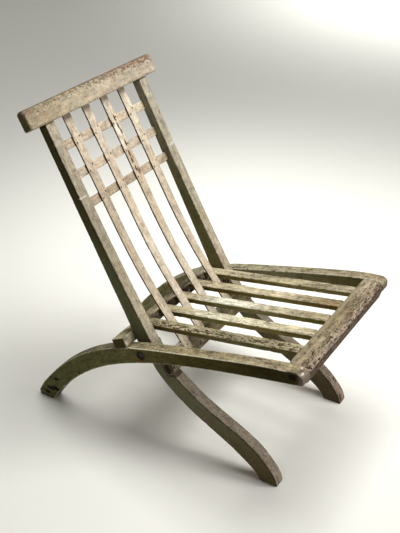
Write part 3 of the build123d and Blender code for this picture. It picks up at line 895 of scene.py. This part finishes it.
painted(
    "worn_stile_right",
    [
        (0.33, 0.265, 0.21), (0.31, 0.262, 0.19), (0.255, 0.225, 0.15), (0.42, 0.365, 0.265),
        (0.315, 0.27, 0.189), (0.30, 0.262, 0.188), (0.315, 0.272, 0.2), (0.34, 0.29, 0.22),
    ],
    [
        (0.122, 0.098, 0.048), (0.163, 0.155, 0.093), (0.148, 0.146, 0.074), (0.135, 0.142, 0.068),
        (0.123, 0.13, 0.061), (0.085, 0.078, 0.027), (0.067, 0.06, 0.021), (0.065, 0.058, 0.02),
    ],
    others=[(UPWARDS, [(0.235, 0.2, 0.15)])],
    under=(0.1, 0.066, 0.04), patches=0.9, grime=1.0, shortened=1.8, flakes=0.5, pits=0.55,
    worst=FEET, rubbed=(0.02, 0.01, 0.006), rubbing=0.45,
    marks=[
        ((-0.199, 0.2335, 0.6685), (0.02, 0.012, 0.0026), 1.2, (0.55, 0.52, 0.42), 0.8),
        # Painted shadow that the lower rail casts on the front of the right stile.
        ((-0.192, -0.036, 0.228), (0.024, 0.012, 0.006), 0.8, (0.05, 0.036, 0.018), 0.85),
    ],
)
painted(
    "worn_stile_left",
    [
        (0.31, 0.225, 0.165), (0.32, 0.26, 0.185), (0.31, 0.27, 0.18), (0.4, 0.335, 0.25),
        (0.335, 0.293, 0.208), (0.32, 0.285, 0.207), (0.312, 0.28, 0.206), (0.309, 0.273, 0.203),
    ],
    [
        (0.09, 0.069, 0.037), (0.155, 0.133, 0.066), (0.218, 0.207, 0.099), (0.2, 0.19, 0.08),
        (0.17, 0.158, 0.065), (0.181, 0.169, 0.08), (0.222, 0.2, 0.122), (0.244, 0.214, 0.144),
    ],
    others=[(UPWARDS, [(0.235, 0.195, 0.14)])],
    under=(0.075, 0.044, 0.03), patches=1.0, grime=1.1, shortened=1.8, flakes=0.65, pits=0.75,
    worst=FEET, rubbed=(0.02, 0.01, 0.006), rubbing=0.45,
    marks=[((0.199, 0.2345, 0.67), (0.014, 0.012, 0.005), 1.2, (0.55, 0.53, 0.43), 0.7)],
)
print("stiles painted")

# %% [markdown]
# People lean on the crest rail and lift the chair by it, so its upper edge has flaked to brown
# wood. The flaked part is two bands whose limits slope a little: it widens towards the sitter's
# left, and there it is redder. Both ends have been knocked to reddish wood.

# %% Crest rail
UP_THE_BACK = (0.0, 0.482, 0.876)
SLOPING, STEEPER = (0.018, 0.482, 0.876), (0.045, 0.482, 0.876)

painted(
    "worn_crest_rail",
    [(0.285, 0.235, 0.155), (0.355, 0.31, 0.217), (0.335, 0.278, 0.203), (0.33, 0.28, 0.213)],
    [(0.11, 0.1, 0.045)],
    others=[(UP_THE_BACK, [(0.15, 0.13, 0.08), (0.09, 0.065, 0.038)])],
    under=(0.13, 0.095, 0.055), patches=0.9, grime=0.85, shortened=1.8, flakes=0.5, pits=0.6,
    worst=(UP_THE_BACK, 0.04, 0.915, 0.945), rubbed=(0.5, 0.44, 0.33), rubbing=0.3,
    bands=[
        (SLOPING, 0.07, 0.936, 0.943, (0.13, 0.105, 0.062), 0.6),
        (STEEPER, 0.07, 0.945, 0.951, (0.13, 0.07, 0.04), 0.7),
    ],
    marks=[
        ((0.252, 0.37, 0.885), (0.014, 0.02, 0.012), 0.8, (0.2, 0.1, 0.07), 0.7),
        ((-0.243, 0.342, 0.884), (0.016, 0.02, 0.007), 2.2, (0.18, 0.1, 0.065), 0.65),
    ],
)
print("crest rail painted")

# %% [markdown]
# The slats and laths of the back are the palest part of the chair, cream with a little pink.
# They are darker just under the crest rail, which is painted shadow of that rail. The third slat
# has lost paint beside its nails: it shows bright cream, dark cracks and orange-brown wood.

# %% Back slats
# The very dark sides of the back slats are partly dark paint and partly painted shade.
SLAT_SIDES = [
    (0.05, 0.04, 0.017), (0.022, 0.016, 0.006), (0.03, 0.021, 0.009), (0.032, 0.023, 0.011),
]
CRACKS = [
    ((x, y, z), (0.0032, 0.007, 0.013), 1.3, (0.03, 0.018, 0.012), 0.9)
    for x, y, z in (
        (0.041, 0.315, 0.781), (0.023, 0.311, 0.774), (0.041, 0.304, 0.761),
        (0.044, 0.296, 0.746), (0.040, 0.280, 0.718), (0.036, 0.267, 0.694),
        (0.034, 0.257, 0.676), (0.035, 0.246, 0.655),
    )
]
BACK_SLATS = {
    1: ([(0.49, 0.42, 0.31), (0.475, 0.395, 0.29), (0.42, 0.345, 0.25), (0.51, 0.425, 0.32)], []),
    2: (
        [(0.52, 0.45, 0.34), (0.575, 0.5, 0.39), (0.515, 0.43, 0.32), (0.515, 0.43, 0.33)],
        [((-0.034, 0.178, 0.532), (0.006, 0.01, 0.008), 0.9, (0.3, 0.17, 0.12), 0.6)],
    ),
    3: (
        [(0.52, 0.455, 0.35), (0.52, 0.44, 0.325), (0.46, 0.37, 0.26), (0.51, 0.44, 0.34)],
        [
            ((0.034, 0.300, 0.752), (0.007, 0.01, 0.022), 1.4, (0.7, 0.66, 0.58), 0.75),
            ((0.029, 0.282, 0.722), (0.005, 0.01, 0.014), 1.6, (0.68, 0.63, 0.55), 0.6),
            ((0.038, 0.262, 0.685), (0.006, 0.02, 0.024), 1.8, (0.42, 0.22, 0.11), 0.5),
            *CRACKS,
            ((0.042, 0.241, 0.647), (0.006, 0.01, 0.012), 1.2, (0.14, 0.07, 0.05), 0.75),
        ],
    ),
    4: ([(0.49, 0.415, 0.3), (0.485, 0.41, 0.31), (0.48, 0.395, 0.295), (0.52, 0.45, 0.345)], []),
}
for number, (fronts, marks) in BACK_SLATS.items():
    painted(
        f"worn_back_slat_{number}", fronts, SLAT_SIDES,
        tint=(1.0, 0.94, 0.89), under=(0.18, 0.12, 0.075), patches=0.9, grime=0.8, shortened=1.8,
        flakes=0.15, pits=0.2, grain_lines=0.15, rubbed=(0.6, 0.54, 0.42), rubbing=-0.1,
        # The darker band at the top of each slat is painted shadow of the crest rail.
        bands=[(UP_THE_BACK, 0.02, 0.882, 0.9, (0.3, 0.235, 0.18), 0.55)], marks=marks,
    )
print("back slats painted")

# %% Laths and lower rail
LATHS = {
    "top": [(0.41, 0.33, 0.24), (0.41, 0.335, 0.25), (0.42, 0.345, 0.25), (0.49, 0.41, 0.3)],
    "middle": [
        (0.41, 0.34, 0.25), (0.445, 0.365, 0.27), (0.44, 0.365, 0.275), (0.42, 0.345, 0.255),
    ],
    "bottom": [(0.385, 0.3, 0.215), (0.355, 0.28, 0.19), (0.385, 0.31, 0.22), (0.375, 0.3, 0.21)],
}
for place, fronts in LATHS.items():
    painted(
        f"worn_lath_{place}", fronts, [(0.3, 0.24, 0.16)],
        tint=(1.0, 0.95, 0.91), under=(0.2, 0.14, 0.085), patches=1.2, grime=1.0, shortened=1.8,
        flakes=0.2, pits=0.25, rubbing=-0.1,
    )
painted(
    "worn_lower_rail",
    # The front is lighter and darker in turn: painted light through the gaps between the seat slats
    # and painted shade of the slats, with some dirt.
    [(0.208, 0.173, 0.113), (0.118, 0.093, 0.053), (0.195, 0.16, 0.089), (0.127, 0.104, 0.05)],
    [(0.05, 0.044, 0.026)],
    others=[(UPWARDS, [(0.3, 0.27, 0.19)])], patches=1.8, grime=1.5, flakes=0.25, pits=0.3,
    # The dark patch at the right end is painted shadow cast by the right side rail.
    marks=[((-0.207, -0.021, 0.245), (0.012, 0.02, 0.016), 0.6, (0.025, 0.017, 0.006), 0.9)],
)
print("laths and lower rail painted")

# %% [markdown]
# ## Iron and bare wood
# Bolts, washers, nuts, nails and screws keep their CAD shapes, which are right as they are, so
# only their material changes. The iron has gone dark and rusty, in patches that pit it. The rust
# reads Object coordinates, because these pieces store no grain.

# %% Rusty iron
def rusty_iron(name, dark, rust, amount):
    """Old iron: dark scale with rough orange patches, placed by Object coordinates."""
    material = bpy.data.materials.new(name)
    material.use_nodes = True
    tree = material.node_tree
    shader = tree.nodes["Principled BSDF"]
    place = put(tree, "TexCoord").outputs["Object"]
    spots = mottle(tree, place, (300.0, 300.0, 300.0), detail=4.0)
    rusty = rise(tree, spots, 0.62 - amount, 0.7 - amount)
    fine = mottle(tree, place, (1200.0, 1200.0, 1200.0), detail=2.0, shift=9.0)
    colour = lay(tree, rusty, dark, rust)
    colour = lay(tree, reckon(tree, "MULTIPLY", fine, 0.5), colour, dark)
    tree.links.new(colour, shader.inputs["Base Color"])
    tree.links.new(reckon(tree, "MULTIPLY_ADD", rusty, 0.35, 0.5), shader.inputs["Roughness"])
    shader.inputs["Metallic"].default_value = 0.35
    height = reckon(tree, "ADD", spots, fine)
    bump = put(tree, "Bump", {"Height": height, "Strength": 0.6, "Distance": 0.3 * MM})
    tree.links.new(bump.outputs[0], shader.inputs["Normal"])
    return material


bolt_iron = rusty_iron("bolt_iron", (0.018, 0.012, 0.009), (0.16, 0.055, 0.018), 0.1)
nail_iron = rusty_iron("nail_iron", (0.05, 0.033, 0.024), (0.12, 0.06, 0.035), 0.1)
IRONWORK = {
    bolt_iron: ("pivot_bolts", "spacer_washers", "nut_washers", "pivot_nuts"),
    nail_iron: ("lattice_nails", "lower_rail_nails", "lower_rail_screws"),
}
for iron, names in IRONWORK.items():
    for node in names:
        nodes[node].data.materials.clear()
        nodes[node].data.materials.append(iron)
print("iron on", sum(len(names) for names in IRONWORK.values()), "nodes")

# %% [markdown]
# The two dowels are hidden in the rear rail and the side rails, so nobody ever painted them. They
# lean as the back does. A Mapping node turns the pattern by that lean, so that the fibres, which
# are a noise drawn out along Z, run along the dowels.

# %% Bare wood of the dowels
DOWEL_LEAN = math.atan2(UP_THE_BACK[Y], UP_THE_BACK[Z])

bare_wood = bpy.data.materials.new("bare_wood")
bare_wood.use_nodes = True
tree = bare_wood.node_tree
shader = tree.nodes["Principled BSDF"]
place = put(tree, "TexCoord").outputs["Object"]
upright = put(tree, "Mapping", {"Vector": place, "Rotation": (DOWEL_LEAN, 0.0, 0.0)}).outputs[0]
fibres = mottle(tree, upright, (900.0, 900.0, 60.0))
colour = lay(tree, rise(tree, fibres, 0.4, 0.62), (0.2, 0.12, 0.06), (0.34, 0.22, 0.12))
tree.links.new(colour, shader.inputs["Base Color"])
tree.links.new(reckon(tree, "MULTIPLY_ADD", fibres, 0.2, 0.6), shader.inputs["Roughness"])
nodes["rear_rail_dowels"].data.materials.clear()
nodes["rear_rail_dowels"].data.materials.append(bare_wood)
print("bare wood on the dowels")

# %% [markdown]
# ## Floor and light
# The chair stands on a wide sheet of pale paper that also fills the background. The light is
# that of a plain studio: a large soft lamp above the chair and a little to its left, a weaker one
# in front, and three that only brighten the paper behind. A weak even light from all round keeps
# the shadows open. Large lamps give soft shadows; small ones would cut hard lines.

# %% Floor
FLOOR_HALF_WIDTH = 20.0
PALE_PAPER = (0.89, 0.88, 0.815, 1.0)


def paper_floor():
    """A flat sheet, which is part of the stage and not of the chair."""
    mesh = bpy.data.meshes.new("paper_floor")
    net = bmesh.new()
    bmesh.ops.create_grid(net, x_segments=1, y_segments=1, size=FLOOR_HALF_WIDTH)
    net.to_mesh(mesh)
    net.free()
    sheet = bpy.data.objects.new("paper_floor", mesh)
    bpy.context.scene.collection.objects.link(sheet)
    return sheet


floor = paper_floor()
paper = bpy.data.materials.new("pale paper")
paper.use_nodes = True
paper_shader = paper.node_tree.nodes["Principled BSDF"]
paper_shader.inputs["Base Color"].default_value = PALE_PAPER
paper_shader.inputs["Roughness"].default_value = 0.9
floor.data.materials.append(paper)
print("floor", 2 * FLOOR_HALF_WIDTH, "m square")


# %% Lamps
def softbox(name, place, aim, size, watts, spread=180.0):
    """A round soft lamp at a place, aimed at a point; spread is the angle that it lights."""
    lamp = bpy.data.lights.new(name, "AREA")
    lamp.shape = "DISK"
    lamp.size = size
    lamp.energy = watts
    lamp.spread = math.radians(spread)
    box = bpy.data.objects.new(name, lamp)
    bpy.context.scene.collection.objects.link(box)
    box.location = place
    box.rotation_euler = (Vector(aim) - Vector(place)).to_track_quat("-Z", "Y").to_euler()


softbox("overhead", (0.35, -0.25, 2.6), (0.0, 0.0, 0.3), size=1.5, watts=64)
softbox("front", (1.2, -2.6, 1.8), (0.0, 0.0, 0.5), size=1.8, watts=34)
softbox("behind", (0.9, 0.4, 2.8), (0.9, 0.4, 0.0), size=1.6, watts=3, spread=40.0)
softbox("far_left", (3.0, 3.4, 2.8), (3.0, 3.4, 0.0), size=3.0, watts=20)
softbox("far_corner", (4.8, 0.9, 2.6), (4.8, 0.9, 0.0), size=1.5, watts=36, spread=90.0)

# %% The even light of the room
WARM_WHITE = (1.0, 0.98, 0.90, 1.0)

world = bpy.data.worlds.new("studio")
bpy.context.scene.world = world
world.use_nodes = True
room = world.node_tree.nodes["Background"]
room.inputs["Color"].default_value = WARM_WHITE
room.inputs["Strength"].default_value = 0.12
print("room light", room.inputs["Strength"].default_value)

# %% [markdown]
# The worn boards must not be larger than the CAD boards.
